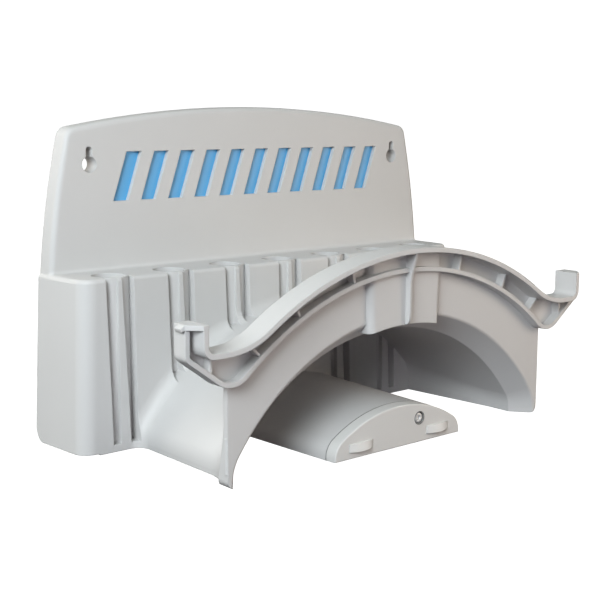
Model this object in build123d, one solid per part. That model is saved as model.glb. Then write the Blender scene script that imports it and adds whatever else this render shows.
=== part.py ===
from build123d import *
import os
from math import atan2, cos, degrees, radians, sin, sqrt

# Wall bracket for cleaning accessories, in millimetres.
# X runs along the wall, Y into the wall, Z up. The wall plane is y = 0 and the underside is z = 0,
# both before the final shift that puts the origin midway between the two keyhole entries.
# "Depth" below is the distance out from the wall, so depth = -y.

# General wall thicknesses
WALL = 3.0
SHELL = 3.5

# Back panel
PANEL_DEPTH = 13.5
PANEL_WALL = 3.5
PANEL_TOP = 236.2
PANEL_CORNER = 9.0
PANEL_EDGE = 4.0
PANEL_DRAFT = 0.8
PANEL_ROOT_Z = 60.0
PANEL_ROOT_HALF = 183.8
PANEL_MID_Z = 166.0
PANEL_MID_HALF = 175.6
PANEL_SHOULDER_Z = 221.0
PANEL_SHOULDER_HALF = 164.6

# Seat block under the shelf
SHELF_Z = 120.3
SHELF_DEPTH = 55.0
FOOT_DEPTH = 58.7
SHELF_HALF_BACK = 182.6
FOOT_HALF_BACK = 189.0
SIDE_TAPER = 4.4
SHELF_HALF_FRONT = SHELF_HALF_BACK - SIDE_TAPER
FOOT_HALF_FRONT = FOOT_HALF_BACK - SIDE_TAPER
BLOCK_CORNER = 11.0
SHELF_EDGE = 3.0
SHELF_ROOT_FILLET = 2.5
BACK_FOOT_RADIUS = 12.0
END_FOOT_RISE = 6.0
END_FOOT_HALF = 171.0

# Seats: a row of upright tubes open at both ends
SEAT_COUNT = 7
SEAT_PITCH = 50.0
SEAT_DEPTH = 39.2
SEAT_BORE_R = 11.7
SEAT_TUBE_R = 14.5
SEAT_CHEEK_HALF = 14.0
GROOVE_TOP_HALF = 11.0
GROOVE_FOOT_HALF = 10.0
GROOVE_RIB_TOP = 3.3
GROOVE_RIB_FOOT = 8.0
GROOVE_FOOT_Z = 5.0

# Keyholes for the two wall screws
KEYHOLE_X = 147.5
KEYHOLE_Z = 195.5
KEYHOLE_R = 5.7
KEYHOLE_SLOT_R = 2.5
KEYHOLE_SLOT_TOP = 207.9
KEYHOLE_PAD_WIDTH = 25.0
KEYHOLE_PAD_HEIGHT = 36.0
KEYHOLE_PAD_THICK = PANEL_DEPTH

# Row of slanted windows with a coloured plate behind them
WINDOW_COUNT = 11
WINDOW_WIDTH = 12.5
WINDOW_SLANT = 12.0
WINDOW_ROW_HALF = 129.0
WINDOW_FOOT_Z = 169.0
WINDOW_TOP_Z = 204.0
INLAY_HALF = 133.0
INLAY_FOOT_Z = 161.0
INLAY_TOP_Z = 212.0
INLAY_THICK = 2.0

# Hose saddle: an arched barrel with an upright plate at its front end
SADDLE_HALF = 138.0
SADDLE_APEX = 86.0
SADDLE_RADIUS = 163.5
SADDLE_SHOULDER = 22.0
SADDLE_ROOT_FILLET = 9.0
SADDLE_FLARE = 30.0
MOUTH_DEPTH = 15.0
MOUTH_SPREAD = 11.5
MOUTH_ROUND = 2.5
MOUTH_TAPER = 8.0
MOUTH_TAPER_DEPTH = 140.0
PLATE_BACK = 172.0
PLATE_THICK = 4.0
PLATE_FRONT = PLATE_BACK + PLATE_THICK
RIM_HALF = 149.5
RIM_APEX = 141.4
RIM_RADIUS = 227.0
RIM_SHOULDER = 35.0
LEG_FOOT_RADIUS = 6.0

# Rim channel: web, upper flange and lower strip
FLANGE_THICK = 3.5
FLANGE_FRONT = 192.0
FLANGE_JOIN_X = 127.0
FLANGE_DIP_RADIUS = 54.7
FLANGE_FLAT = 9.3
FLANGE_TURN_RADIUS = 4.5
STRIP_THICK = 3.2
STRIP_APEX = 127.4
STRIP_RADIUS = 213.3
STRIP_FRONT = 183.8
VALLEY_X = 151.0
VALLEY_Z = 84.9
STRIP_RISE = 36.5
STRIP_TURN_RADIUS = 2.5
HOOK_INNER_FACE = 181.7
HOOK_TOP = 109.4
HOOK_CAP_THICK = 3.2
HOOK_CAP_BACK = 177.0
HOOK_BEAK = 3.0
RIB_THICK = 1.8
RIB_SET = 1.3
CROWN_RIBS = (53.5, 103.0)
SLOPE_RIB_X = 133.0
SLOPE_RIB_Z = 87.3
SLOPE_RIB_LEAN = 48.0
END_RIB_X = 166.0

# Small upright bead on the outer side of each leg
BEAD_R = 1.0
BEAD_DEPTH = 174.0
BEAD_LOW = 10.0
BEAD_HIGH = 33.0

# Box and centre rib under the crown of the rim
BOX_TOP_HALF = 35.3
BOX_FOOT_HALF = 33.3
BOX_TOP_Z = 139.0
BOX_FOOT_APEX = 88.0
BOX_FOOT_ARC = 160.0
BOX_FRONT = 180.5
BOX_BACK = 150.0
BOX_CORNER = 5.0

# Half-drum core under the arch, with its end cap and screw
CORE_HALF_BACK = 66.5
CORE_HALF_FRONT = 61.2
CORE_APEX_BACK = 33.0
CORE_APEX_FRONT = 30.0
CORE_RADIUS = 100.0
CORE_CORNER = 13.0
CORE_FRONT = 166.8
CAP_FRONT = 175.8
CAP_HALF = 60.6
CAP_APEX = 29.6
CAP_WALL = 2.2
CAP_EDGE = 0.8
CAP_SCREW_X = 19.1
CAP_SCREW_Z = 17.7
CAP_BOSS_R = 6.5
CAP_POCKET_R = 4.2
CAP_POCKET_DEPTH = 2.6
SCREW_HEAD_R = 2.7
SCREW_HEAD_THICK = 2.2
SCREW_SHANK_R = 1.5
SCREW_LENGTH = 16.0
SCREW_SOCKET_R = 1.3
SCREW_SOCKET_DEPTH = 1.2
SCREW_PLAY = 0.1
BULKHEAD = 2.5
PILOT_BOSS_R = 4.5

ORIGIN_Z = KEYHOLE_Z


def upright(depth):
    """Plane parallel to the wall at one depth, looking out from the wall."""
    return Plane(origin=(0, -depth, 0), x_dir=(1, 0, 0), z_dir=(0, -1, 0))


def slab(face, start, end):
    """Extrude a face drawn in X and Z from one depth to another."""
    return extrude(upright(start) * face, end - start, dir=(0, -1, 0))


def box_between(x0, x1, depth0, depth1, z0, z1):
    """Box between two X, two depths and two heights."""
    centre = ((x0 + x1) / 2, -(depth0 + depth1) / 2, (z0 + z1) / 2)
    return Pos(*centre) * Box(x1 - x0, depth1 - depth0, z1 - z0)


def post(x, depth, radius, z0, z1):
    """Upright cylinder."""
    return Pos(x, -depth, (z0 + z1) / 2) * Cylinder(radius, z1 - z0)


def pin(x, z, radius, depth0, depth1):
    """Cylinder square to the wall."""
    turned = Rot(X=90) * Cylinder(radius, depth1 - depth0)
    return Pos(x, -(depth0 + depth1) / 2, z) * turned


def face_of(edges):
    """Closed flat face from a ring of edges."""
    return Face(Wire(edges))


def arch_face(half, apex, radius, shoulder, foot):
    """Arch outline: flat foot, upright sides, shoulder arcs and one crown arc, symmetric in X."""
    centre = apex - radius
    inset = half - shoulder
    reach = sqrt((radius - shoulder) ** 2 - inset ** 2)
    spring = centre + reach
    scale = radius / (radius - shoulder)
    join_x = scale * inset
    join_z = centre + scale * reach
    turn = atan2(reach, inset) / 2
    mid_x = inset + shoulder * cos(turn)
    mid_z = spring + shoulder * sin(turn)
    return face_of([
        Line((-half, foot), (half, foot)),
        Line((half, foot), (half, spring)),
        ThreePointArc((half, spring), (mid_x, mid_z), (join_x, join_z)),
        ThreePointArc((join_x, join_z), (0, apex), (-join_x, join_z)),
        ThreePointArc((-join_x, join_z), (-mid_x, mid_z), (-half, spring)),
        Line((-half, spring), (-half, foot)),
    ])


def saddle_face(grow, taper, foot):
    """Front view of the saddle barrel, grown by a wall and narrowed at its sides."""
    return arch_face(SADDLE_HALF + grow - taper, SADDLE_APEX + grow, SADDLE_RADIUS + grow,
                     SADDLE_SHOULDER + grow, foot)


def rim_outline():
    """Front view of the rim and legs, with the outer corner of each foot rounded."""
    ring = arch_face(RIM_HALF, RIM_APEX, RIM_RADIUS, RIM_SHOULDER, 0)
    corners = ring.vertices().sort_by(Axis.Y)[:2]
    return ring.fillet_2d(LEG_FOOT_RADIUS, corners)


def saddle_outer(back):
    """Barrel that runs into an upright plate through a large fillet, trimmed to the rim."""
    barrel = slab(saddle_face(0, 0, 0), back, PLATE_FRONT)
    spread = RIM_HALF + 2 * SADDLE_FLARE
    plate = box_between(-spread, spread, PLATE_BACK, PLATE_FRONT, 0, RIM_APEX + SADDLE_FLARE)
    joined = barrel + plate
    seam = joined.edges().filter_by(lambda e: is_barrel_seam(e))
    joined = joined.fillet(SADDLE_FLARE, seam)
    return joined & slab(rim_outline(), back - 1, PLATE_FRONT)


def is_barrel_seam(edge):
    """True for the edges where the barrel meets the back of the upright plate."""
    box = edge.bounding_box()
    level = abs(box.min.Y + PLATE_BACK) < 0.01 and abs(box.max.Y + PLATE_BACK) < 0.01
    inside = box.max.Z < SADDLE_APEX + 0.1 and max(-box.min.X, box.max.X) < SADDLE_HALF + 0.1
    return level and inside and box.size.Z > 0.01


def saddle_inner(back, front):
    """Space under the barrel: its sides draw in towards the seat block and it flares at its mouth."""
    narrow = upright(back) * saddle_face(-SHELL, MOUTH_TAPER, -SADDLE_SHOULDER)
    wide = upright(MOUTH_TAPER_DEPTH) * saddle_face(-SHELL, 0, -SADDLE_SHOULDER)
    rear = loft([narrow, wide], ruled=True)
    middle = slab(saddle_face(-SHELL, 0, -SADDLE_SHOULDER), MOUTH_TAPER_DEPTH, PLATE_FRONT - MOUTH_DEPTH)
    wider = saddle_face(MOUTH_SPREAD - SHELL, 0, -SADDLE_SHOULDER)
    flared = loft([upright(PLATE_FRONT - MOUTH_DEPTH) * saddle_face(-SHELL, 0, -SADDLE_SHOULDER),
                   upright(PLATE_FRONT) * wider], ruled=True)
    return rear + middle + flared + slab(wider, PLATE_FRONT, front)


def is_mouth_edge(edge):
    """True for the edges of the arch opening in the front of the plate."""
    box = edge.bounding_box()
    level = abs(box.min.Y + PLATE_FRONT) < 0.01 and abs(box.max.Y + PLATE_FRONT) < 0.01
    inside = box.max.Z < SADDLE_APEX + MOUTH_SPREAD and max(-box.min.X, box.max.X) < RIM_HALF - SHELL / 2
    return level and inside and box.size.Z > 0.01


def panel_face(inset, root_z, top_inset):
    """Outline of the back panel: curved sides, rounded top corners and a crowned top."""
    root = PANEL_ROOT_HALF - inset
    mid = PANEL_MID_HALF - inset
    high = PANEL_SHOULDER_HALF - inset
    high_z = PANEL_SHOULDER_Z - top_inset
    apex = PANEL_TOP - top_inset
    ring = face_of([
        Line((-root, root_z), (root, root_z)),
        ThreePointArc((root, root_z), (mid, PANEL_MID_Z), (high, high_z)),
        ThreePointArc((high, high_z), (0, apex), (-high, high_z)),
        ThreePointArc((-high, high_z), (-mid, PANEL_MID_Z), (-root, root_z)),
    ])
    corners = ring.vertices().sort_by(Axis.Y)[-2:]
    return ring.fillet_2d(PANEL_CORNER - top_inset, corners)


def block_face(half_back, half_front, depth_back, depth_front, corner):
    """Plan of the seat block: a trapezium with its two front corners rounded."""
    ring = face_of([
        Line((-half_back, -depth_back), (half_back, -depth_back)),
        Line((half_back, -depth_back), (half_front, -depth_front)),
        Line((half_front, -depth_front), (-half_front, -depth_front)),
        Line((-half_front, -depth_front), (-half_back, -depth_back)),
    ])
    corners = ring.vertices().sort_by(Axis.Y)[:2]
    return ring.fillet_2d(corner, corners)


def make_block(inset, back, foot_z, top_z):
    """Seat block, or its hollow when set in by a wall."""
    foot = block_face(FOOT_HALF_BACK - inset, FOOT_HALF_FRONT - inset, back,
                      FOOT_DEPTH - inset, BLOCK_CORNER - inset)
    top = block_face(SHELF_HALF_BACK - inset, SHELF_HALF_FRONT - inset, back,
                     SHELF_DEPTH - inset, BLOCK_CORNER - inset)
    return loft([Pos(0, 0, foot_z) * foot, Pos(0, 0, top_z) * top], ruled=True)


def back_corner_tool(radius, foot_z):
    """Square bar less a round one: what the rounded lower back edge leaves off."""
    depth = radius + foot_z
    length = 2 * FOOT_HALF_BACK
    bar = box_between(-length, length, -2 * radius, depth, -2 * radius, depth)
    rod = Pos(0, -depth, depth) * (Rot(Y=90) * Cylinder(radius, 3 * length))
    keep = box_between(-length, length, -3 * radius, depth, depth, 3 * depth)
    return bar - rod - keep


def end_wedge(side, wall):
    """What the rising lower edge leaves off at one end of the block, or its offset by a wall."""
    wedge = Polygon(
        (-1, -1),
        (FOOT_DEPTH, -1),
        (FOOT_DEPTH, wall),
        (-1, END_FOOT_RISE + wall),
        align=None,
    )
    start = END_FOOT_HALF
    length = FOOT_HALF_BACK - END_FOOT_HALF + 1
    if side < 0:
        start = -END_FOOT_HALF - length
    across = Plane(origin=(start, 0, 0), x_dir=(0, -1, 0), z_dir=(1, 0, 0))
    return extrude(across * wedge, length, dir=(1, 0, 0))


def seat_places():
    """X of each seat, centred on the bracket."""
    first = -(SEAT_COUNT - 1) / 2 * SEAT_PITCH
    return [first + index * SEAT_PITCH for index in range(SEAT_COUNT)]


def groove_pair():
    """Two tapered upright grooves with a rib between them, as deep as the seat tube's surface."""
    top_z = SHELF_Z + 1
    front = FOOT_DEPTH + 2 * SADDLE_ROOT_FILLET
    outline = face_of([
        Line((-GROOVE_FOOT_HALF, GROOVE_FOOT_Z), (GROOVE_FOOT_HALF, GROOVE_FOOT_Z)),
        Line((GROOVE_FOOT_HALF, GROOVE_FOOT_Z), (GROOVE_TOP_HALF, top_z)),
        Line((GROOVE_TOP_HALF, top_z), (-GROOVE_TOP_HALF, top_z)),
        Line((-GROOVE_TOP_HALF, top_z), (-GROOVE_FOOT_HALF, GROOVE_FOOT_Z)),
    ])
    foot_half = GROOVE_RIB_FOOT / 2
    top_half = GROOVE_RIB_TOP / 2
    low = GROOVE_FOOT_Z - 1
    high = top_z + 1
    rib = face_of([
        Line((-foot_half, low), (foot_half, low)),
        Line((foot_half, low), (top_half, high)),
        Line((top_half, high), (-top_half, high)),
        Line((-top_half, high), (-foot_half, low)),
    ])
    cut = slab(outline, SEAT_DEPTH, front) - slab(rib, SEAT_DEPTH - 1, front + 1)
    return cut - post(0, SEAT_DEPTH, SEAT_TUBE_R, -1, SHELF_Z + 5)


def make_back():
    """Panel and seat block as one outer form, before it is hollowed."""
    rear = upright(0) * panel_face(0, PANEL_ROOT_Z, 0)
    front = upright(PANEL_DEPTH) * panel_face(PANEL_DRAFT, PANEL_ROOT_Z, PANEL_DRAFT)
    panel = loft([rear, front], ruled=True)
    lip = panel.faces().sort_by(Axis.Y)[0].edges().sort_by(Axis.Z)[1:]
    panel = panel.fillet(PANEL_EDGE, lip)
    block = make_block(0, 0, 0, SHELF_Z)
    rim = block.faces().sort_by(Axis.Z)[-1].edges().sort_by(Axis.Y)[:-1]
    block = block.fillet(SHELF_EDGE, rim)
    back = panel + block
    corner = back.edges().filter_by(Axis.X).filter_by(lambda e: is_shelf_corner(e))
    return back.fillet(SHELF_ROOT_FILLET, corner)


def is_shelf_corner(edge):
    """True for the inner corner between the top of the shelf and the front of the panel."""
    place = edge.center()
    return abs(place.Z - SHELF_Z) < 0.01 and abs(place.Y + PANEL_DEPTH) < 0.01


def make_hollow():
    """Space behind the panel and inside the block, with the seat tubes and keyhole pads left standing."""
    inset = WALL
    rear = upright(-1) * panel_face(inset, PANEL_ROOT_Z, inset)
    front = upright(PANEL_DEPTH - PANEL_WALL) * panel_face(
        PANEL_DRAFT + inset, PANEL_ROOT_Z, PANEL_DRAFT + inset)
    hollow = loft([rear, front], ruled=True)
    hollow = hollow + make_block(WALL, -1, WALL, SHELF_Z - WALL)
    hollow = hollow - back_corner_tool(BACK_FOOT_RADIUS - WALL, WALL)
    for side in (-1, 1):
        hollow = hollow - end_wedge(side, WALL)
    for x in seat_places():
        tube = post(x, SEAT_DEPTH, SEAT_TUBE_R, -1, SHELF_Z)
        cheek = box_between(x - SEAT_CHEEK_HALF, x + SEAT_CHEEK_HALF, SEAT_DEPTH, FOOT_DEPTH + 1,
                            -1, SHELF_Z)
        hollow = hollow - (tube + cheek)
    pad_face = Rectangle(KEYHOLE_PAD_WIDTH, KEYHOLE_PAD_HEIGHT)
    pad_z = (KEYHOLE_Z + KEYHOLE_SLOT_TOP) / 2
    for side in (-1, 1):
        face = Pos(side * KEYHOLE_X, pad_z) * pad_face
        hollow = hollow - slab(face, PANEL_DEPTH - KEYHOLE_PAD_THICK, PANEL_DEPTH)
    return hollow


def keyhole(x):
    """Round entry with a slot above it, through the whole panel."""
    slot_z = KEYHOLE_SLOT_TOP - KEYHOLE_SLOT_R
    entry = pin(x, KEYHOLE_Z, KEYHOLE_R, -5, PANEL_DEPTH + 5)
    end = pin(x, slot_z, KEYHOLE_SLOT_R, -5, PANEL_DEPTH + 5)
    slot = box_between(x - KEYHOLE_SLOT_R, x + KEYHOLE_SLOT_R, -5, PANEL_DEPTH + 5, KEYHOLE_Z, slot_z)
    return entry + end + slot


def windows():
    """Row of slanted windows through the panel face."""
    step = (2 * WINDOW_ROW_HALF - WINDOW_WIDTH - WINDOW_SLANT) / (WINDOW_COUNT - 1)
    cuts = []
    for index in range(WINDOW_COUNT):
        left = -WINDOW_ROW_HALF + index * step
        shape = Polygon(
            (left, WINDOW_FOOT_Z),
            (left + WINDOW_WIDTH, WINDOW_FOOT_Z),
            (left + WINDOW_WIDTH + WINDOW_SLANT, WINDOW_TOP_Z),
            (left + WINDOW_SLANT, WINDOW_TOP_Z),
            align=None,
        )
        cuts.append(slab(shape, PANEL_DEPTH - PANEL_WALL - 1, PANEL_DEPTH + 5))
    return cuts


def flange_edges(offset):
    """Right half of the flange line, from the crown to the hook top; offset 0 is its upper side."""
    radius = RIM_RADIUS - offset
    centre_z = RIM_APEX - RIM_RADIUS
    lean = FLANGE_JOIN_X / (RIM_RADIUS - FLANGE_THICK)
    rise = sqrt(1 - lean ** 2)
    join = (radius * lean, centre_z + radius * rise)
    half = sqrt((1 - rise) / 2)
    crown_mid = (radius * half, centre_z + radius * sqrt(1 - half ** 2))
    dip = FLANGE_DIP_RADIUS + offset
    reach = RIM_RADIUS + FLANGE_DIP_RADIUS
    dip_centre = (reach * lean, centre_z + reach * rise)
    low = (dip_centre[0], dip_centre[1] - dip)
    turn_half = atan2(lean, rise) / 2
    dip_mid = (dip_centre[0] - dip * sin(turn_half), dip_centre[1] - dip * cos(turn_half))
    turn = FLANGE_TURN_RADIUS + offset
    turn_centre = (dip_centre[0] + FLANGE_FLAT, dip_centre[1] - FLANGE_DIP_RADIUS + FLANGE_TURN_RADIUS)
    flat_end = (turn_centre[0], turn_centre[1] - turn)
    quarter = turn * sqrt(0.5)
    turn_mid = (turn_centre[0] + quarter, turn_centre[1] - quarter)
    upright_start = (turn_centre[0] + turn, turn_centre[1])
    upright_end = (upright_start[0], HOOK_TOP)
    edges = [
        ThreePointArc((0, centre_z + radius), crown_mid, join),
        ThreePointArc(join, dip_mid, low),
        Line(low, flat_end),
        ThreePointArc(flat_end, turn_mid, upright_start),
        Line(upright_start, upright_end),
    ]
    return edges, upright_end


def strip_edges(offset):
    """Right half of the strip line, from the crown to the hook top; offset 0 is its upper side."""
    radius = STRIP_RADIUS - offset
    centre_z = STRIP_APEX - STRIP_RADIUS
    span = sqrt(VALLEY_X ** 2 + (VALLEY_Z - centre_z) ** 2)
    lean = VALLEY_X / span
    rise = (VALLEY_Z - centre_z) / span
    valley = span - STRIP_RADIUS + offset
    join = (radius * lean, centre_z + radius * rise)
    half = sqrt((1 - rise) / 2)
    crown_mid = (radius * half, centre_z + radius * sqrt(1 - half ** 2))
    slope = radians(STRIP_RISE)
    valley_low = (VALLEY_X, VALLEY_Z - valley)
    line_start = (VALLEY_X + valley * sin(slope), VALLEY_Z - valley * cos(slope))
    base = (VALLEY_X + (valley - offset) * sin(slope), VALLEY_Z - (valley - offset) * cos(slope))
    turn_x = HOOK_INNER_FACE - STRIP_TURN_RADIUS
    along = (turn_x - base[0] + STRIP_TURN_RADIUS * sin(slope)) / cos(slope)
    turn_z = base[1] + along * sin(slope) + STRIP_TURN_RADIUS * cos(slope)
    turn = STRIP_TURN_RADIUS + offset
    line_end = (turn_x + turn * sin(slope), turn_z - turn * cos(slope))
    mid_angle = (slope + radians(90)) / 2
    turn_mid = (turn_x + turn * sin(mid_angle), turn_z - turn * cos(mid_angle))
    upright_start = (turn_x + turn, turn_z)
    upright_end = (upright_start[0], HOOK_TOP)
    edges = [
        ThreePointArc((0, centre_z + radius), crown_mid, join),
        ThreePointArc(join, valley_low, line_start),
        Line(line_start, line_end),
        ThreePointArc(line_end, turn_mid, upright_start),
        Line(upright_start, upright_end),
    ]
    return edges, upright_end


def band_face(first, second):
    """Face between two half lines that both start on X = 0 and end at the hook top."""
    first_edges, first_end = first
    second_edges, second_end = second
    crown = Line(first_edges[0] @ 0, second_edges[0] @ 0)
    top = Line(first_end, second_end)
    return face_of(first_edges + second_edges + [crown, top])


def rib_plate(x, z, lean):
    """Plate square to the front view's plane, leaning by an angle from upright."""
    height = 2 * PLATE_BACK
    depth = STRIP_FRONT - RIB_SET - PLATE_BACK
    middle = -(PLATE_BACK + depth / 2)
    return Pos(x, middle, z) * (Rot(Y=lean) * Box(RIB_THICK, depth, height))


def make_rim_half():
    """Right half of the rim: web, upper flange, lower strip, hook and ribs."""
    flange_top = flange_edges(0)
    flange_low = flange_edges(FLANGE_THICK)
    strip_top = strip_edges(0)
    strip_low = strip_edges(STRIP_THICK)
    web = slab(band_face(flange_top, strip_low), PLATE_BACK, PLATE_FRONT)
    flange = slab(band_face(flange_top, flange_low), PLATE_BACK, FLANGE_FRONT)
    strip = slab(band_face(strip_top, strip_low), PLATE_BACK + PLATE_THICK / 2, STRIP_FRONT)
    inner = flange_top[1][0]
    outer = strip_low[1][0]
    cap_low = HOOK_TOP - HOOK_CAP_THICK
    cap = Polygon(
        (inner, cap_low),
        (outer, cap_low),
        (outer + HOOK_BEAK * 0.7, cap_low - HOOK_BEAK / 3),
        (outer + HOOK_BEAK, cap_low + HOOK_BEAK / 3),
        (outer, HOOK_TOP),
        (inner, HOOK_TOP),
        align=None,
    )
    hook = slab(cap, HOOK_CAP_BACK, FLANGE_FRONT)
    channel = slab(band_face(flange_low, strip_top), PLATE_BACK, STRIP_FRONT)
    rim = web + flange + strip + hook
    crown_centre = RIM_APEX - RIM_RADIUS
    plates = [
        rib_plate(END_RIB_X, VALLEY_Z, 0),
        rib_plate(SLOPE_RIB_X, SLOPE_RIB_Z, SLOPE_RIB_LEAN) & slope_side(),
    ]
    for x in CROWN_RIBS:
        rise = sqrt(RIM_RADIUS ** 2 - x ** 2)
        plates.append(rib_plate(x, crown_centre + rise, degrees(atan2(x, rise))))
    for plate in plates:
        rim = rim + (channel & plate)
    slant = Polygon(
        (inner + FLANGE_THICK, -FLANGE_FRONT),
        (outer, -STRIP_FRONT),
        (outer + 2 * HOOK_BEAK, -STRIP_FRONT + 1),
        (outer + 2 * HOOK_BEAK, -FLANGE_FRONT - 1),
        (inner + FLANGE_THICK, -FLANGE_FRONT - 1),
        align=None,
    )
    return rim - extrude(Pos(0, 0, VALLEY_Z) * slant, HOOK_TOP, dir=(0, 0, 1))


def slope_side():
    """Space on the crown side of the valley, which keeps the slope rib out of the hook."""
    return box_between(SLOPE_RIB_X - VALLEY_Z / 2, VALLEY_X, PLATE_BACK, STRIP_FRONT, 0, RIM_APEX)


def make_bead():
    """Small upright bead on the outer side of the right leg."""
    return post(RIM_HALF, BEAD_DEPTH, BEAD_R, BEAD_LOW, BEAD_HIGH)


def box_outline(inset, foot_drop):
    """Front view of the box: tapered sides and an arched lower edge."""
    top = BOX_TOP_HALF - inset
    foot = BOX_FOOT_HALF - inset
    drop = BOX_FOOT_ARC - sqrt(BOX_FOOT_ARC ** 2 - BOX_FOOT_HALF ** 2)
    foot_z = BOX_FOOT_APEX - drop - foot_drop
    apex = BOX_FOOT_APEX - foot_drop
    return face_of([
        ThreePointArc((-foot, foot_z), (0, apex), (foot, foot_z)),
        Line((foot, foot_z), (top, BOX_TOP_Z)),
        Line((top, BOX_TOP_Z), (-top, BOX_TOP_Z)),
        Line((-top, BOX_TOP_Z), (-foot, foot_z)),
    ])


def make_centre(inner_space):
    """Box under the crown, cut to lie inside the arch and under the flange."""
    outer = slab(box_outline(0, 0), BOX_BACK, BOX_FRONT)
    corners = outer.edges().filter_by(lambda e: abs(e.center().X) > BOX_FOOT_HALF - 2
                                      and abs(e.center().Y + BOX_FRONT) < 0.1)
    outer = outer.fillet(BOX_CORNER, corners)
    hollow = slab(box_outline(WALL, 10), BOX_BACK - 1, BOX_FRONT - WALL)
    walls = outer - hollow
    return walls & inner_space


def core_face(half, apex, radius, corner, foot):
    """Half-drum outline: flat foot, short upright sides, rounded corners and a flat crown arc."""
    return arch_face(half, apex, radius, corner, foot)


def make_core(inset, foot, back, front):
    """Half-drum that narrows slightly towards the front."""
    rear = core_face(CORE_HALF_BACK - inset, CORE_APEX_BACK - inset, CORE_RADIUS - inset,
                     CORE_CORNER - inset, foot)
    face = core_face(CORE_HALF_FRONT - inset, CORE_APEX_FRONT - inset, CORE_RADIUS - inset,
                     CORE_CORNER - inset, foot)
    return loft([upright(back) * rear, upright(front) * face], ruled=True)


def make_body():
    """The grey moulding, all in one piece."""
    root_depth = SHELF_DEPTH - 2 * SHELL
    under = saddle_inner(root_depth, PLATE_FRONT + 1)
    shell = saddle_outer(root_depth) - under
    mouth = shell.edges().filter_by(lambda e: is_mouth_edge(e))
    shell = shell.fillet(MOUTH_ROUND, mouth)
    back = make_back()
    body = back + shell
    root = body.edges().filter_by(lambda e: is_saddle_root(e))
    body = body.fillet(SADDLE_ROOT_FILLET, root)
    half = make_rim_half() + make_bead()
    body = body + half + mirror(half, about=Plane.YZ)
    crown = slab(arch_face(RIM_HALF, RIM_APEX - FLANGE_THICK / 2, RIM_RADIUS, RIM_SHOULDER, 0),
                 PLATE_FRONT, FLANGE_FRONT)
    body = body + make_centre(under + crown)
    drum = make_core(0, 0, root_depth, CORE_FRONT)
    drum_hollow = make_core(WALL, -WALL, root_depth - 1, CORE_FRONT - BULKHEAD)
    boss_back = CORE_FRONT - SCREW_LENGTH
    boss = pin(CAP_SCREW_X, CAP_SCREW_Z, PILOT_BOSS_R, boss_back, CORE_FRONT)
    body = body + (drum - drum_hollow) + (boss & drum)
    for x in seat_places():
        cut = Pos(x, 0, 0) * groove_pair()
        body = body - (cut - shell - drum)
    hollow = make_hollow()
    body = body - hollow
    body = body - back_corner_tool(BACK_FOOT_RADIUS, 0)
    for side in (-1, 1):
        body = body - end_wedge(side, 0)
    for x in seat_places():
        body = body - post(x, SEAT_DEPTH, SEAT_BORE_R, -WALL, SHELF_Z + WALL)
    for side in (-1, 1):
        body = body - keyhole(side * KEYHOLE_X)
    for cut in windows():
        body = body - cut
    pilot = pin(CAP_SCREW_X, CAP_SCREW_Z, SCREW_SHANK_R + SCREW_PLAY / 2, boss_back - 1, CORE_FRONT + 1)
    return body - pilot


def is_saddle_root(edge):
    """True for the outer edges where the saddle meets the front of the seat block."""
    place = edge.center()
    depth = -place.Y
    near_front = SHELF_DEPTH - 0.2 < depth < FOOT_DEPTH + 0.2
    box = edge.bounding_box()
    thin = box.size.Y < 4
    away = box.min.Z > -0.1 and box.max.Z < SADDLE_APEX + 2 and abs(place.X) <= SADDLE_HALF + 0.5
    centre = SADDLE_APEX - SADDLE_RADIUS
    reach = sqrt(place.X ** 2 + (place.Z - centre) ** 2)
    outside = reach > SADDLE_RADIUS - 1.6 or abs(place.X) > SADDLE_HALF - 0.5
    long_enough = edge.length > 2
    return near_front and thin and away and outside and long_enough and box.size.Z > 0.5


def make_cap():
    """End cap of the drum: a shallow tray with a screw boss."""
    rear = core_face(CORE_HALF_FRONT, CORE_APEX_FRONT, CORE_RADIUS, CORE_CORNER, 0)
    face = core_face(CAP_HALF, CAP_APEX, CORE_RADIUS, CORE_CORNER, 0)
    cap = loft([upright(CORE_FRONT) * rear, upright(CAP_FRONT) * face], ruled=True)
    lip = cap.faces().sort_by(Axis.Y)[0].edges()
    cap = cap.fillet(CAP_EDGE, lip)
    inner = core_face(CAP_HALF - CAP_WALL, CAP_APEX - CAP_WALL, CORE_RADIUS - CAP_WALL,
                      CORE_CORNER - CAP_WALL, CAP_WALL)
    cap = cap - slab(inner, CORE_FRONT - 1, CAP_FRONT - CAP_WALL)
    cap = cap + pin(CAP_SCREW_X, CAP_SCREW_Z, CAP_BOSS_R, CORE_FRONT, CAP_FRONT - CAP_WALL / 2)
    cap = cap - pin(CAP_SCREW_X, CAP_SCREW_Z, CAP_POCKET_R, CAP_FRONT - CAP_POCKET_DEPTH, CAP_FRONT + 5)
    return cap - pin(CAP_SCREW_X, CAP_SCREW_Z, SCREW_SHANK_R + SCREW_PLAY, CORE_FRONT - 5, CAP_FRONT)


def make_screw():
    """Pan-head screw with a hexagonal socket."""
    seat = CAP_FRONT - CAP_POCKET_DEPTH
    head = pin(CAP_SCREW_X, CAP_SCREW_Z, SCREW_HEAD_R, seat, seat + SCREW_HEAD_THICK)
    crown = head.faces().sort_by(Axis.Y)[0].edges()
    head = head.fillet(SCREW_HEAD_THICK / 3, crown)
    shank = pin(CAP_SCREW_X, CAP_SCREW_Z, SCREW_SHANK_R, seat - SCREW_LENGTH, seat + 0.5)
    socket = Pos(CAP_SCREW_X, CAP_SCREW_Z) * RegularPolygon(SCREW_SOCKET_R, 6)
    top = seat + SCREW_HEAD_THICK
    return head + shank - slab(socket, top - SCREW_SOCKET_DEPTH, top + 1)


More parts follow.
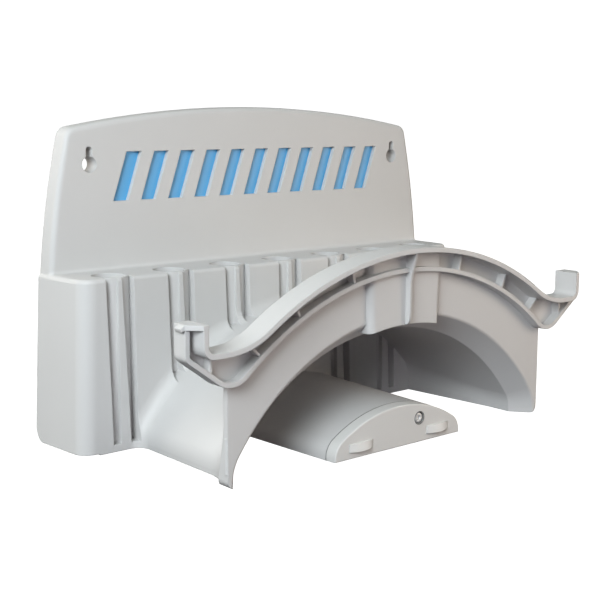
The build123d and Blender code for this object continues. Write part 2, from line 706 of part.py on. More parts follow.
def make_inlay():
    """Coloured plate that lies against the inside of the panel behind the windows."""
    front = PANEL_DEPTH - PANEL_WALL
    return box_between(-INLAY_HALF, INLAY_HALF, front - INLAY_THICK, front, INLAY_FOOT_Z, INLAY_TOP_Z)


os.makedirs("parts", exist_ok=True)
place = Pos(0, 0, -ORIGIN_Z)
nodes = {
    "bracket_body": make_body(),
    "inlay_plate": make_inlay(),
    "core_cap": make_cap(),
    "cap_screw": make_screw(),
}
for name, solid in nodes.items():
    export_step(place * solid, "parts/" + name + ".step")
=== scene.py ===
from math import cos, radians, sin

import bmesh
import bpy
import numpy as np
from bpy.props import FloatProperty, FloatVectorProperty, PointerProperty
from mathutils import Matrix, Vector


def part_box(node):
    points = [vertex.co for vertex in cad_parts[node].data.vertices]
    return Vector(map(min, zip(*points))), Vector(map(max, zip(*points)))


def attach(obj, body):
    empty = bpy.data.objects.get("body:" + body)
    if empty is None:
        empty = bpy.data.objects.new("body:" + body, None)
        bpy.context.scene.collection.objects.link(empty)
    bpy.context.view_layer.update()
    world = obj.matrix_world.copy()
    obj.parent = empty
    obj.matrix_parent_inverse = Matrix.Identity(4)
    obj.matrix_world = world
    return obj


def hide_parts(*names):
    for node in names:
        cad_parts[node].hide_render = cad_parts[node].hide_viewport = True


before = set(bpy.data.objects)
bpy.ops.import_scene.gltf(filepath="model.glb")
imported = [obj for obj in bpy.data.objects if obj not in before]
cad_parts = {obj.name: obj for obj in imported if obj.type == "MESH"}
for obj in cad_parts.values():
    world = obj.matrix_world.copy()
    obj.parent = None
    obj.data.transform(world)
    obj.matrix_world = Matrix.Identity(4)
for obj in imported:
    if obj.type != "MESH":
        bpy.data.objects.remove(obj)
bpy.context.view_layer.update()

bl_info = {
    "name": "Accessory wall bracket",
    "version": (1, 0, 0),
    "blender": (4, 5, 0),
    "location": "View3D > Sidebar > Bracket",
    "description": "Finishes a moulded wall bracket and sets up a plain studio around it",
    "category": "Object",
}

# The CAD box, and the lowest and highest corners of the nodes that scene pieces are placed by, in metres.
BODY = "bracket_body"
INLAY = "inlay_plate"
CAP = "core_cap"
SCREW = "cap_screw"
LOW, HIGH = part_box(BODY)
CAP_LOW, CAP_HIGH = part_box(CAP)
SCREW_LOW, SCREW_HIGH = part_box(SCREW)


class BracketPlastic(bpy.types.PropertyGroup):
    """Finish of the grey moulding."""
    colour: FloatVectorProperty(
        name="Body colour", description="Linear base colour of the grey plastic",
        subtype="COLOR", size=3, min=0, max=1, default=(0.605, 0.600, 0.597))
    # The cap's colour is its slightly warmer plastic, made lighter than the body as painted light where the
    # lamps bring too little.
    cap_colour_and_light: FloatVectorProperty(
        name="Cap colour", description="Linear base colour of the slightly warmer core cap",
        subtype="COLOR", size=3, min=0, max=1, default=(0.68, 0.675, 0.66))
    roughness: FloatProperty(
        name="Roughness", description="Mean roughness of the satin grain", min=0, max=1, default=0.46)
    grain: FloatProperty(
        name="Grain size", description="Size of one grain of the moulded texture",
        min=0.0001, max=0.01, default=0.0007, unit="LENGTH")
    relief: FloatProperty(
        name="Grain relief", description="Height of the moulded grain",
        min=0, max=0.001, default=0.00003, unit="LENGTH")


class BracketInlay(bpy.types.PropertyGroup):
    """Finish of the coloured plate behind the windows."""
    colour: FloatVectorProperty(
        name="Inlay colour", description="Linear base colour of the inlay",
        subtype="COLOR", size=3, min=0, max=1, default=(0.11, 0.42, 0.76))
    roughness: FloatProperty(
        name="Roughness", description="Roughness of the inlay's satin face", min=0, max=1, default=0.4)


class BracketScrew(bpy.types.PropertyGroup):
    """Finish of the cap screw."""
    colour: FloatVectorProperty(
        name="Metal colour", description="Linear base colour of the zinc-plated screw",
        subtype="COLOR", size=3, min=0, max=1, default=(0.86, 0.87, 0.87))
    roughness: FloatProperty(
        name="Roughness", description="Roughness of the plating", min=0, max=1, default=0.42)
    metallic: FloatProperty(
        name="Metallic", description="How much of the dull white plating reflects as bare metal",
        min=0, max=1, default=0.35)


class BracketTrim(bpy.types.PropertyGroup):
    """Raised pads, seam and screw of the core's end cap, and the thin rib over the centre box."""
    pad_place: FloatProperty(
        name="Pad place", description="Distance of each pad's middle from the middle of the cap",
        min=0.01, max=0.05, default=0.0373, unit="LENGTH")
    pad_length: FloatProperty(
        name="Pad length", description="Length of a pad along the cap",
        min=0.005, max=0.04, default=0.0225, unit="LENGTH")
    pad_height: FloatProperty(
        name="Pad height", description="Height of a pad from its flat underside to its flat top",
        min=0.002, max=0.015, default=0.0058, unit="LENGTH")
    pad_foot: FloatProperty(
        name="Pad foot", description="Height of the pad's underside above the underside of the cap",
        min=0, max=0.02, default=0.0048, unit="LENGTH")
    pad_rise: FloatProperty(
        name="Pad rise", description="How far the middle of a pad stands out of the cap's face",
        min=0, max=0.01, default=0.0032, unit="LENGTH")
    # The seam is a dark band of painted shadow over the joint between the core and its cap.
    seam_shadow_width: FloatProperty(
        name="Seam width", description="Width of the dark joint between the core and its cap",
        min=0, max=0.002, default=0.0006, unit="LENGTH")
    # The sleeve's dark colour is painted shade for the shadow in the recess round the screw.
    sleeve: FloatProperty(
        name="Sleeve radius", description="Outer radius of the dark sleeve round the screw",
        min=0.003, max=0.01, default=0.005, unit="LENGTH")
    head: FloatProperty(
        name="Screw head radius", description="Radius of the domed screw head",
        min=0.001, max=0.005, default=0.0036, unit="LENGTH")
    rib: FloatProperty(
        name="Rib thickness", description="Thickness of the upright rib over the centre box",
        min=0.0005, max=0.01, default=0.0024, unit="LENGTH")


class BracketStudio(bpy.types.PropertyGroup):
    """Plain studio: camera, lights, floor and backdrop."""
    azimuth: FloatProperty(
        name="Camera azimuth", description="Turn of the camera round the bracket",
        default=radians(-40.053), subtype="ANGLE")
    elevation: FloatProperty(
        name="Camera elevation", description="Height angle of the camera",
        default=radians(9.083), subtype="ANGLE")
    lens: FloatProperty(
        name="Lens", description="Focal length on a 36 mm sensor, in millimetres",
        min=10, max=300, default=68.197)
    sky_high: FloatProperty(
        name="Overhead sky", description="Strength of the surrounding light from straight above",
        min=0, max=5, default=0.54)
    sky_low: FloatProperty(
        name="Low sky", description="Strength of the surrounding light at the horizon and below",
        min=0, max=5, default=0.0)
    key: FloatProperty(
        name="Key light", description="Power of the soft light above and left of the camera, in watts",
        min=0, max=1000, default=11.69)
    right: FloatProperty(
        name="Right light", description="Power of the warm soft light in front and to the right, in watts",
        min=0, max=1000, default=2.0)
    left: FloatProperty(
        name="Left light", description="Power of the soft light behind and to the left, in watts",
        min=0, max=1000, default=3.0)
    low: FloatProperty(
        name="Low light", description="Power of the weak soft light from below the front, in watts",
        min=0, max=1000, default=0.6)
    fill: FloatProperty(
        name="Fill light", description="Power of the weak light far in front and to the right, in watts",
        min=0, max=1000, default=1.4)
    drop: FloatProperty(
        name="Floor drop", description="Gap between the underside of the bracket and the floor",
        min=0, max=5, default=0.55, unit="LENGTH")


# Camera: its place in metres, its sensor's width in millimetres, and how far it sees in metres.
CAMERA_PLACE = Vector((-0.549277, -0.720324, 0.031906))
SENSOR_WIDTH = 36.0
CAMERA_REACH = 50.0

# Lights, which all face the middle of the bracket: name, place, size and colour.
LIGHTS = (
    ("key", (-0.9, -0.6, 0.35), 0.5, (0.90, 0.967, 1.0)),
    ("right", (0.55, -0.65, 0.0), 0.4, (1.0, 0.84, 0.70)),
    ("left", (-0.7, 0.5, 0.3), 0.5, (1.0, 0.914, 0.818)),
    ("low", (-0.25, -0.75, -0.35), 0.4, (1.0, 0.92, 1.0)),
    ("fill", (1.2, -1.2, 0.3), 0.9, (1.0, 1.0, 1.0)),
)
SKY_COLOUR = (0.96, 1.0, 0.96)

# Round room: radius of its flat floor, radius of the curve, height of its wall, and its pale surface.
ROOM_FLOOR = 3.0
ROOM_CURVE = 1.0
ROOM_HEIGHT = 5.0
ROOM_COLOUR = (0.6, 0.6, 0.6)
ROOM_GLOW = 1.0
ROOM_ROUGHNESS = 0.9

# Finishes: octaves of the slow and the fine noise, then for each finish the size of its slow pattern, its
# two tones as shares of its colour, and how far its roughness falls and rises.
SLOW_DETAIL = 3
FINE_DETAIL = 2
PLASTIC_CLOUD = 0.06
PLASTIC_TONES = (0.975, 1.025)
PLASTIC_SPREAD = (-0.05, 0.07)
INLAY_CLOUD = 0.02
INLAY_TONES = (0.94, 1.05)
INLAY_SPREAD = (-0.05, 0.06)
PLATING_SPOT = 0.0012
PLATING_TONES = (0.8, 1.08)
PLATING_SPREAD = (-0.06, 0.12)

# Moulded plastic: contrast of its grain, its gloss, and the radius of the edges softened in its shading.
GRAIN_CONTRAST = 0.6
PLASTIC_IOR = 1.49
PLASTIC_SPECULAR = 0.42
EDGE_ROUND = 0.0009
EDGE_SAMPLES = 6

# Inlay: size and height of its grain.
INLAY_GRAIN = 0.0009
INLAY_RELIEF = 0.00002

# Turning marks on the screw: scale of the rings, how much they waver, their height and its strength.
RING_SCALE = 900.0
RING_WAVER = 1.5
RING_RELIEF = 0.00003
RING_STRENGTH = 0.5

# Core and cap, as in their CAD nodes: radius of the crown and of the corners beside it.
CORE_RADIUS = 0.1
CORE_CORNER = 0.013

# Pads: depth of their roots in the cap, and the rise of their tops as a share of the rise at the foot.
PAD_ROOT = 0.0004
PAD_LEAN = 0.45

# Edges of the pads and the rib: radius, and the angle from which an edge is rounded.
TRIM_EDGE = 0.0004
SHARP_ANGLE = radians(35)

# The seam is a dark band of painted shadow where the joint behind the cap lies in shade.
# Seam: how far it stands proud of the cap, and its tone as a share of the body's colour.
SEAM_PROUD = 0.00006
SEAM_SHADE = 0.4

# Rib: its outline as distances behind the body's front and heights above the body's lowest point.
RIB_OUTLINE = ((0.0125, 0.088), (0.0105, 0.088), (0.0082, 0.0905), (0.0075, 0.0945), (0.0075, 0.117),
               (0.0066, 0.1225), (0.0015, 0.139), (0.0125, 0.139))

# Screw: thickness of its head, radius of its shank, and the dome from the rim inwards as shares of the
# head's radius with depths below the crown.
HEAD_THICK = 0.0022
SHANK = 0.0015
HEAD_DOME = ((1.0, 0.0009), (0.97, 0.0005), (0.88, 0.0002), (0.7, 0.00005))

# Socket of the screw: radius, number and swell of its lobes, taper, height of its wall, and depth.
SOCKET = 0.00125
SOCKET_LOBES = 6
SOCKET_LOBE = 0.13
SOCKET_TAPER = 0.97
SOCKET_WALL = 0.0011
SOCKET_DEPTH = 0.0012

# Sleeve: gap round the head, and the lip from the inside out as shares of the sleeve's radius with depths
# behind the cap's face; then its dark finish, painted shade for the shadow in the recess round the screw.
SLEEVE_GAP = 0.0001
SLEEVE_LIP = ((0.78, 0.0006), (0.86, -0.00015), (0.97, -0.0002), (1.0, 0.0002))
SLEEVE_SHADE_COLOUR = (0.17, 0.17, 0.165)
SLEEVE_ROUGHNESS = 0.5
SLEEVE_GRAIN = 0.0007
SLEEVE_RELIEF = 0.00002

# Points round a turned surface, the last of which meets the first.
LATHE_STEPS = 73


def add_node(tree, kind, place, **values):
    """New node of one kind at a place in the editor, with its settings."""
    node = tree.nodes.new(kind)
    node.location = place
    for key, value in values.items():
        setattr(node, key, value)
    return node


def new_material(name):
    """Material with one shader on its output; returns the material, its node tree and the shader."""
    material = bpy.data.materials.new(name)
    material.use_nodes = True
    tree = material.node_tree
    tree.nodes.clear()
    output = add_node(tree, "ShaderNodeOutputMaterial", (900, 0))
    shader = add_node(tree, "ShaderNodeBsdfPrincipled", (600, 0))
    tree.links.new(shader.outputs["BSDF"], output.inputs["Surface"])
    return material, tree, shader


def noise(tree, vector, place, size, detail, roughness=0.5):
    """Noise whose cells are about size metres across."""
    node = add_node(tree, "ShaderNodeTexNoise", place)
    node.inputs["Scale"].default_value = 1.0 / size
    node.inputs["Detail"].default_value = detail
    node.inputs["Roughness"].default_value = roughness
    tree.links.new(vector, node.inputs["Vector"])
    return node.outputs["Fac"]


def span(tree, value, place, low, high, start=0.3, end=0.7):
    """Map the values of a pattern between start and end to a range of numbers."""
    node = add_node(tree, "ShaderNodeMapRange", place)
    node.inputs["From Min"].default_value = start
    node.inputs["From Max"].default_value = end
    node.inputs["To Min"].default_value = low
    node.inputs["To Max"].default_value = high
    tree.links.new(value, node.inputs["Value"])
    return node.outputs["Result"]


def shade(colour, factor):
    """A colour made lighter or darker."""
    return tuple(min(1.0, channel * factor) for channel in colour)


def mottled(tree, shader, pattern, colour, tones):
    """Base colour that runs between two tones of a colour along a pattern."""
    node = add_node(tree, "ShaderNodeMix", (300, 300), data_type="RGBA")
    node.inputs["A"].default_value = (*shade(colour, tones[0]), 1)
    node.inputs["B"].default_value = (*shade(colour, tones[1]), 1)
    tree.links.new(pattern, node.inputs["Factor"])
    tree.links.new(node.outputs["Result"], shader.inputs["Base Color"])


def satin(tree, shader, pattern, roughness, spread):
    """Roughness that falls and rises about its mean along a pattern."""
    worn = span(tree, pattern, (300, 0), roughness + spread[0], roughness + spread[1])
    tree.links.new(worn, shader.inputs["Roughness"])


def raised(tree, shader, pattern, relief, strength=1.0):
    """Bump whose height follows a pattern; returns its node."""
    bump = add_node(tree, "ShaderNodeBump", (300, -300))
    bump.inputs["Strength"].default_value = strength
    bump.inputs["Distance"].default_value = relief
    tree.links.new(pattern, bump.inputs["Height"])
    tree.links.new(bump.outputs["Normal"], shader.inputs["Normal"])
    return bump


def satin_plastic(name, colour, roughness, grain, relief):
    """Moulded plastic: faint clouding from the melt and a fine spark-eroded grain, with softened edges.

    The colour is the base times 1 plus or minus 2.5% along a slow noise; height and roughness follow one
    fine grain; sharp edges catch the light over the mould's small edge radius.
    """
    material, tree, shader = new_material(name)
    place = add_node(tree, "ShaderNodeTexCoord", (-1200, 0)).outputs["Object"]
    cloud = noise(tree, place, (-900, 300), PLASTIC_CLOUD, SLOW_DETAIL)
    mottled(tree, shader, cloud, colour, PLASTIC_TONES)
    fine = noise(tree, place, (-900, -100), grain, FINE_DETAIL, GRAIN_CONTRAST)
    satin(tree, shader, fine, roughness, PLASTIC_SPREAD)
    bump = raised(tree, shader, fine, relief)
    edge = add_node(tree, "ShaderNodeBevel", (0, -500), samples=EDGE_SAMPLES)
    edge.inputs["Radius"].default_value = EDGE_ROUND
    tree.links.new(edge.outputs["Normal"], bump.inputs["Normal"])
    shader.inputs["IOR"].default_value = PLASTIC_IOR
    shader.inputs["Specular IOR Level"].default_value = PLASTIC_SPECULAR
    return material


def inlay_plastic(name, colour, roughness):
    """Coloured sheet: an even satin face with a faint mottling."""
    material, tree, shader = new_material(name)
    place = add_node(tree, "ShaderNodeTexCoord", (-1200, 0)).outputs["Object"]
    cloud = noise(tree, place, (-900, 300), INLAY_CLOUD, SLOW_DETAIL)
    mottled(tree, shader, cloud, colour, INLAY_TONES)
    fine = noise(tree, place, (-900, -100), INLAY_GRAIN, FINE_DETAIL)
    satin(tree, shader, fine, roughness, INLAY_SPREAD)
    raised(tree, shader, fine, INLAY_RELIEF)
    return material


def plated_metal(name, colour, roughness, metallic, centre):
    """Zinc-plated steel with turning marks: rings about the screw's axis, from the distance to it."""
    material, tree, shader = new_material(name)
    place = add_node(tree, "ShaderNodeTexCoord", (-1500, 0)).outputs["Object"]
    moved = add_node(tree, "ShaderNodeMapping", (-1300, 0))
    moved.inputs["Location"].default_value = (-centre[0], 0, -centre[2])
    tree.links.new(place, moved.inputs["Vector"])
    rings = add_node(tree, "ShaderNodeTexWave", (-900, -100), wave_type="RINGS", rings_direction="Y")
    rings.inputs["Scale"].default_value = RING_SCALE
    rings.inputs["Distortion"].default_value = RING_WAVER
    rings.inputs["Detail"].default_value = FINE_DETAIL
    tree.links.new(moved.outputs["Vector"], rings.inputs["Vector"])
    spots = noise(tree, place, (-900, 300), PLATING_SPOT, SLOW_DETAIL)
    mottled(tree, shader, spots, colour, PLATING_TONES)
    satin(tree, shader, spots, roughness, PLATING_SPREAD)
    raised(tree, shader, rings.outputs["Fac"], RING_RELIEF, RING_STRENGTH)
    shader.inputs["Metallic"].default_value = metallic
    return material


def plain_stage(name, colour, glow):
    """Pale even surface for the floor and the backdrop."""
    material, _, shader = new_material(name)
    shader.inputs["Base Color"].default_value = (*colour, 1)
    shader.inputs["Roughness"].default_value = ROOM_ROUGHNESS
    shader.inputs["Emission Color"].default_value = (1, 1, 1, 1)
    shader.inputs["Emission Strength"].default_value = glow
    return material


def dress(node, material):
    """Put one material in every slot of a CAD node."""
    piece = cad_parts[node]
    if not piece.material_slots:
        piece.data.materials.append(material)
    for slot in piece.material_slots:
        slot.material = material


def round_room(floor_z, reach, radius, height):
    """Round floor that curves up into a wall on every side, so that each view has the same backdrop.

    The profile is turned about Z: r = s on the flat up to reach; r = reach + R sin t and
    z = floor + R (1 - cos t) on the curve of radius R; then z rises at r = reach + R.
    """
    flat = np.linspace(0.0, reach, 8)
    turn = np.linspace(0, np.pi / 2, 24)[1:]
    rise = np.linspace(radius, height, 10)[1:]
    out = np.concatenate([flat, reach + radius * np.sin(turn), np.full(rise.size, reach + radius)])
    z = np.concatenate([np.zeros(flat.size), radius * (1 - np.cos(turn)), rise]) + floor_z
    angle = np.linspace(0, 2 * np.pi, 97)
    x = out[:, None] * np.cos(angle)[None, :]
    y = out[:, None] * np.sin(angle)[None, :]
    return sheet_faces(np.stack([x, y, np.broadcast_to(z[:, None], x.shape)], axis=-1))


def mesh_piece(name, points, faces, material):
    """Object at the origin from arrays of points and faces, shaded smooth."""
    mesh = bpy.data.meshes.new(name)
    mesh.from_pydata(points.tolist(), [], [list(face) for face in faces])
    mesh.polygons.foreach_set("use_smooth", np.ones(len(mesh.polygons), dtype=bool))
    mesh.materials.append(material)
    mesh.update()
    piece = bpy.data.objects.new(name, mesh)
    bpy.context.scene.collection.objects.link(piece)
    return piece


def cap_pad(middle, settings):
    """Finger pad on the cap: flat below, with a front that bulges in plan and leans back towards its top.

    Seen from above the front is a circle arc of radius R = (a^2 + p^2) / 2p, with a half the length and p
    the rise at the middle, so the rise is sqrt(R^2 - x^2) - (R - p).
    """
    half, bulge = settings.pad_length / 2, settings.pad_rise
    radius = (half ** 2 + bulge ** 2) / (2 * bulge)
    across = half * np.sin(np.linspace(-np.pi / 2, np.pi / 2, 41))
    rise = np.sqrt(radius ** 2 - across ** 2) - (radius - bulge)
    sunk = -PAD_ROOT * rise / bulge
    foot = CAP_LOW[2] + settings.pad_foot
    top = foot + settings.pad_height
    rows = [(sunk, foot), (rise, foot), (PAD_LEAN * rise, top), (sunk, top), (sunk, foot)]
    grid = []
    for out, z in rows:
        grid.append(np.stack([middle + across, CAP_LOW[1] - out, np.full(across.size, z)], axis=-1))
    return sheet_faces(np.stack(grid))


def side_plate(outline, thick):
    """Upright plate on the bracket's middle plane, from distances behind its front and heights."""
    shape = bmesh.new()
    near = [shape.verts.new((-thick / 2, LOW[1] + back, LOW[2] + up)) for back, up in outline]
    face = shape.faces.new(near)
    far = bmesh.ops.extrude_face_region(shape, geom=[face])["geom"]
    moved = [item for item in far if isinstance(item, bmesh.types.BMVert)]
    bmesh.ops.translate(shape, verts=moved, vec=(thick, 0, 0))
    bmesh.ops.recalc_face_normals(shape, faces=shape.faces)
    shape.verts.index_update()
    points = np.array([point.co[:] for point in shape.verts])
    faces = [[point.index for point in item.verts] for item in shape.faces]
    shape.free()
    return points, faces


def sheet_faces(grid):
    """Points and four-sided faces of a grid of points with rows and columns."""
    rows, columns = grid.shape[:2]
    index = np.arange(rows * columns).reshape(rows, columns)
    faces = np.stack([index[:-1, :-1], index[:-1, 1:], index[1:, 1:], index[1:, :-1]], axis=-1)
    return grid.reshape(-1, 3), faces.reshape(-1, 4)


def turned(centre, rows):
    """Surface of revolution about an axis along Y, from rows of radius, depth and lobe.

    A row's reach is its radius times 1 + lobe cos 6a, so a lobed row swells and shrinks six times a turn.
    """
    radii, depths, lobes = np.array(rows).T[:, :, None]
    angle = np.linspace(0, 2 * np.pi, LATHE_STEPS)
    reach = radii * (1 + lobes * np.cos(SOCKET_LOBES * angle))
    x = centre[0] + reach * np.cos(angle)
    y = np.broadcast_to(depths, reach.shape)
    z = centre[2] + reach * np.sin(angle)
    return sheet_faces(np.stack([x, y, z], axis=-1))


def screw_rows(head, top, length):
    """Rows of the screw from its tip to the floor of its socket, with its crown at depth top."""
    shank = ((0.0, length, 0), (SHANK, length, 0), (SHANK, HEAD_THICK, 0), (head, HEAD_THICK, 0))
    dome = tuple((share * head, below, 0) for share, below in HEAD_DOME)
    wall = ((SOCKET, 0.0, SOCKET_LOBE), (SOCKET_TAPER * SOCKET, SOCKET_WALL, SOCKET_LOBE))
    floor = ((0.0, SOCKET_DEPTH, 0),)
    return [(radius, top + below, lobe) for radius, below, lobe in shank + dome + wall + floor]


def sleeve_rows(root, floor, edge, face):
    """Rows of the sleeve from its root at the depth of its floor, over its lip and back to the root."""
    lip = [(share * edge, face + below, 0) for share, below in SLEEVE_LIP]
    return [(root, floor, 0), *lip, (root, floor, 0)]


def core_section(half, apex):
    """Half-drum outline from one foot over the crown to the other: sides, corner arcs and a crown arc."""
    crown_z = apex - CORE_RADIUS
    inset = half - CORE_CORNER
    spring = crown_z + np.sqrt((CORE_RADIUS - CORE_CORNER) ** 2 - inset ** 2)
    lean = np.arctan2(spring - crown_z, inset)
    corner = np.linspace(0, lean, 9)
    crown = np.linspace(lean, np.pi - lean, 49)[1:-1]
    out = inset + CORE_CORNER * np.cos(corner)
    up = spring + CORE_CORNER * np.sin(corner)
    x = np.concatenate([[half], out, CORE_RADIUS * np.cos(crown), -out[::-1], [-half]])
    z = np.concatenate([[0.0], up, crown_z + CORE_RADIUS * np.sin(crown), up[::-1], [0.0]])
    return x, z


def cap_seam(width):
    """Thin band for the painted shadow of the joint between the core and its cap, slightly proud of both.
    """
    half = (CAP_HIGH[0] - CAP_LOW[0]) / 2
    apex = CAP_HIGH[2] - CAP_LOW[2]
    rows = []
    for along, proud in ((-0.5, -1), (-0.5, 1), (0.5, 1), (0.5, -1), (-0.5, -1)):
        x, z = core_section(half + proud * SEAM_PROUD, apex + proud * SEAM_PROUD)
        y = np.full(x.size, CAP_HIGH[1] + along * width)
        rows.append(np.stack([x, y, z + CAP_LOW[2]], axis=-1))
    return sheet_faces(np.stack(rows))


def welded(piece, gap=1e-6):
    """Merge the points of a mesh piece that lie on each other and drop what collapses to a line."""
    shape = bmesh.new()
    shape.from_mesh(piece.data)
    bmesh.ops.remove_doubles(shape, verts=shape.verts, dist=gap)
    bmesh.ops.dissolve_degenerate(shape, edges=shape.edges, dist=gap)
    bmesh.ops.recalc_face_normals(shape, faces=shape.faces)
    shape.to_mesh(piece.data)
    shape.free()


def eased(piece, width):
    """Round the sharp edges of a piece a little, as a mould does."""
    bevel = piece.modifiers.new("eased_edges", "BEVEL")
    bevel.width = width
    bevel.segments = 2
    bevel.limit_method = "ANGLE"
    bevel.angle_limit = SHARP_ANGLE
    bevel.harden_normals = True


def dome_sky(name, low, high, colour):
    """Surrounding light that rises evenly with height, from the horizon to overhead."""
    world = bpy.data.worlds.new(name)
    world.use_nodes = True
    tree = world.node_tree
    sky = tree.nodes["Background"]
    sky.inputs["Color"].default_value = (*colour, 1)
    place = add_node(tree, "ShaderNodeTexCoord", (-900, 0)).outputs["Generated"]
    parts = add_node(tree, "ShaderNodeSeparateXYZ", (-700, 0))
    tree.links.new(place, parts.inputs["Vector"])
    strength = span(tree, parts.outputs["Z"], (-400, 0), low, high, 0.0, 1.0)
    tree.links.new(strength, sky.inputs["Strength"])
    return world


def soft_light(name, place, target, size, power, colour):
    """Square area light that faces a point."""
    data = bpy.data.lights.new(name, "AREA")
    data.shape = "SQUARE"
    data.size = size
    data.energy = power
    data.color = colour
    light = bpy.data.objects.new(name, data)
    light.location = place
    light.rotation_euler = (Vector(target) - Vector(place)).to_track_quat("-Z", "Y").to_euler()
    light.visible_camera = False
    bpy.context.scene.collection.objects.link(light)
    return light


class BRACKET_OT_body(bpy.types.Operator):
    """Give the grey moulding its grained satin plastic"""
    bl_idname = "bracket.body"
    bl_label = "Finish the body"

    def execute(self, context):
        settings = context.scene.bracket_plastic
        dress(BODY, satin_plastic("body_plastic", settings.colour, settings.roughness, settings.grain,
                                  settings.relief))
        return {"FINISHED"}


class BRACKET_OT_inlay(bpy.types.Operator):
    """Give the plate behind the windows its coloured satin face"""
    bl_idname = "bracket.inlay"
    bl_label = "Finish the inlay"

    def execute(self, context):
        settings = context.scene.bracket_inlay
        dress(INLAY, inlay_plastic("inlay_plastic", settings.colour, settings.roughness))
        return {"FINISHED"}


class BRACKET_OT_cap(bpy.types.Operator):
    """Give the core's end cap its slightly warmer plastic, made lighter to paint in light that the lamps
    don't bring to it
    """
    bl_idname = "bracket.cap"
    bl_label = "Finish the cap"

    def execute(self, context):
        plastic = context.scene.bracket_plastic
        dress(CAP, satin_plastic("cap_plastic", plastic.cap_colour_and_light, plastic.roughness, plastic.grain,
                                 plastic.relief))
        return {"FINISHED"}


class BRACKET_OT_centre_rib(bpy.types.Operator):
    """Add the thin upright rib that runs from the rim down the face of the centre box"""
    bl_idname = "bracket.centre_rib"
    bl_label = "Add the centre rib"

    def execute(self, context):
        settings = context.scene.bracket_trim
        rib = mesh_piece("centre_rib", *side_plate(RIB_OUTLINE, settings.rib),
                         bpy.data.materials["body_plastic"])
        eased(rib, TRIM_EDGE)
        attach(rib, "root")
        return {"FINISHED"}


class BRACKET_OT_cap_trim(bpy.types.Operator):
    """Add the cap's two raised pads and, behind it, a dark band of painted shadow over the seam"""
    bl_idname = "bracket.cap_trim"
    bl_label = "Add the cap's pads and seam"

    def execute(self, context):
        settings = context.scene.bracket_trim
        plastic = context.scene.bracket_plastic
        # The pads share the cap's plastic and with it the cap's painted light.
        cover = bpy.data.materials["cap_plastic"]
        for side, name in ((-1, "cap_pad_left"), (1, "cap_pad_right")):
            pad = mesh_piece(name, *cap_pad(side * settings.pad_place, settings), cover)
            welded(pad)
            eased(pad, TRIM_EDGE)
            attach(pad, "root")
        # Painted shade: the body's colour darkened to stand for the shadow in the joint behind the cap.
        dark = satin_plastic("seam_plastic", shade(plastic.colour, SEAM_SHADE), plastic.roughness,
                             plastic.grain, plastic.relief)
        seam = mesh_piece("cap_seam", *cap_seam(settings.seam_shadow_width), dark)
        welded(seam)
        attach(seam, "root")
        return {"FINISHED"}


class BRACKET_OT_screw(bpy.types.Operator):
    """Add the cap's screw, with a domed, plated head and a lobed socket, and round it a dark sleeve of
    painted shade for its recess
    """
    bl_idname = "bracket.screw"
    bl_label = "Add the screw and its sleeve"

    def execute(self, context):
        settings = context.scene.bracket_trim
        metal = context.scene.bracket_screw
        centre = (Vector(SCREW_LOW) + Vector(SCREW_HIGH)) / 2
        top = SCREW_LOW[1]
        plating = plated_metal("screw_metal", metal.colour, metal.roughness, metal.metallic, centre)
        rows = screw_rows(settings.head, top, SCREW_HIGH[1] - top)
        screw = mesh_piece("plated_screw", *turned(centre, rows), plating)
        welded(screw)
        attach(screw, "root")
        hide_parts(SCREW)
        # Painted shade: a dark ring that stands for the shadow in the recess round the screw.
        dark = satin_plastic("sleeve_plastic", SLEEVE_SHADE_COLOUR, SLEEVE_ROUGHNESS, SLEEVE_GRAIN, SLEEVE_RELIEF)
        rows = sleeve_rows(settings.head + SLEEVE_GAP, top + HEAD_THICK, settings.sleeve, CAP_LOW[1])
        sleeve = mesh_piece("screw_sleeve", *turned(centre, rows), dark)
        welded(sleeve)
        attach(sleeve, "root")
        return {"FINISHED"}


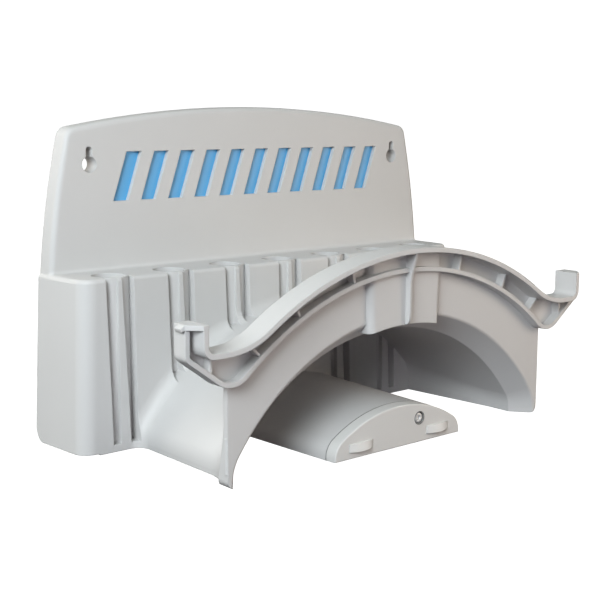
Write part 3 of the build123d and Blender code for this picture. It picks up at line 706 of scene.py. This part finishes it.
class BRACKET_OT_studio(bpy.types.Operator):
    """Set up the camera, the lights, the floor and the backdrop"""
    bl_idname = "bracket.studio"
    bl_label = "Set up the studio"

    def execute(self, context):
        settings = context.scene.bracket_studio
        scene = context.scene
        azimuth, elevation = settings.azimuth, settings.elevation
        back = Vector((sin(azimuth) * cos(elevation), -cos(azimuth) * cos(elevation), sin(elevation)))
        right = Vector((cos(azimuth), sin(azimuth), 0))
        up = back.cross(right)
        data = bpy.data.cameras.new("studio_camera")
        data.lens = settings.lens
        data.sensor_width = SENSOR_WIDTH
        data.clip_end = CAMERA_REACH
        camera = bpy.data.objects.new("studio_camera", data)
        turn = Matrix((right, up, back)).transposed().to_4x4()
        camera.matrix_world = Matrix.Translation(CAMERA_PLACE) @ turn
        scene.collection.objects.link(camera)
        scene.camera = camera
        pale = plain_stage("stage_pale", ROOM_COLOUR, ROOM_GLOW)
        room = round_room(LOW[2] - settings.drop, ROOM_FLOOR, ROOM_CURVE, ROOM_HEIGHT)
        stage = mesh_piece("studio_room", *room, pale)
        welded(stage)
        # The room throws no light, reflection or shadow on the bracket: the sky and the lights do the work.
        stage.visible_diffuse = False
        stage.visible_glossy = False
        stage.visible_shadow = False
        middle = ((LOW[0] + HIGH[0]) / 2, (LOW[1] + HIGH[1]) / 2, (LOW[2] + HIGH[2]) / 2)
        for name, place, size, colour in LIGHTS:
            soft_light(name + "_light", place, middle, size, getattr(settings, name), colour)
        world = dome_sky("studio_world", settings.sky_low, settings.sky_high, SKY_COLOUR)
        scene.world = world
        scene.view_settings.view_transform = "Standard"
        return {"FINISHED"}


class BRACKET_PT_panel(bpy.types.Panel):
    """Steps that finish the bracket, in order"""
    bl_idname = "BRACKET_PT_panel"
    bl_label = "Wall bracket"
    bl_space_type = "VIEW_3D"
    bl_region_type = "UI"
    bl_category = "Bracket"

    def draw(self, context):
        layout = self.layout
        scene = context.scene
        for name, _, title in GROUPS:
            settings = getattr(scene, name)
            box = layout.box()
            box.label(text=title)
            for key in settings.__annotations__:
                box.prop(settings, key)
        for step in STEPS:
            layout.operator(step.bl_idname)


GROUPS = (
    ("bracket_plastic", BracketPlastic, "Plastic"),
    ("bracket_inlay", BracketInlay, "Inlay"),
    ("bracket_screw", BracketScrew, "Screw"),
    ("bracket_trim", BracketTrim, "Trim"),
    ("bracket_studio", BracketStudio, "Studio"),
)
STEPS = (BRACKET_OT_body, BRACKET_OT_inlay, BRACKET_OT_centre_rib, BRACKET_OT_cap, BRACKET_OT_cap_trim,
         BRACKET_OT_screw, BRACKET_OT_studio)


def register():
    """Register the settings, the steps and the panel."""
    for name, group, _ in GROUPS:
        bpy.utils.register_class(group)
        setattr(bpy.types.Scene, name, PointerProperty(type=group))
    for step in STEPS:
        bpy.utils.register_class(step)
    bpy.utils.register_class(BRACKET_PT_panel)


def unregister():
    """Remove the panel, the steps and the settings."""
    bpy.utils.unregister_class(BRACKET_PT_panel)
    for step in reversed(STEPS):
        bpy.utils.unregister_class(step)
    for name, group, _ in reversed(GROUPS):
        delattr(bpy.types.Scene, name)
        bpy.utils.unregister_class(group)


def main():
    """Run every step in order."""
    register()
    bpy.ops.bracket.body()
    bpy.ops.bracket.inlay()
    bpy.ops.bracket.centre_rib()
    bpy.ops.bracket.cap()
    bpy.ops.bracket.cap_trim()
    bpy.ops.bracket.screw()
    bpy.ops.bracket.studio()


if __name__ == "__main__":
    main()
